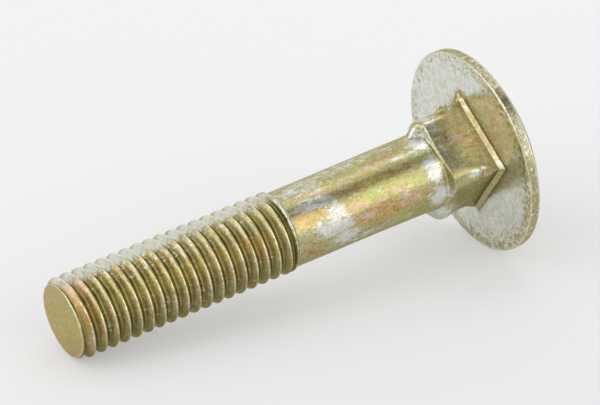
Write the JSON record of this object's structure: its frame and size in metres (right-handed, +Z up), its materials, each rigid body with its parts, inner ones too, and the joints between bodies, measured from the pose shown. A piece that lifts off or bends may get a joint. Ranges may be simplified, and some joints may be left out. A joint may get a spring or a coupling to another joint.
{
  "type": "carriage bolt",
  "caption": "Mushroom-head carriage bolt with a square neck, a plain reduced shank and a metric threaded end, in worn yellow-passivated zinc.",
  "frame": {"origin": "centre of the bounding box's base, on the surface that the bolt lies on", "axes": "+Z up from that surface, +X level along the lying bolt from its tip to its head; the bolt's own axis rises 7.9 degrees from +X towards the head"},
  "size_m": [0.049, 0.0202, 0.0202],
  "materials": {
    "passivated_zinc": "zinc plate with a worn, iridescent olive-gold passivate, bare silver where it has rubbed"
  },
  "bodies": {
    "root": {"bolt": "passivated_zinc"}
  },
  "joints": []
}
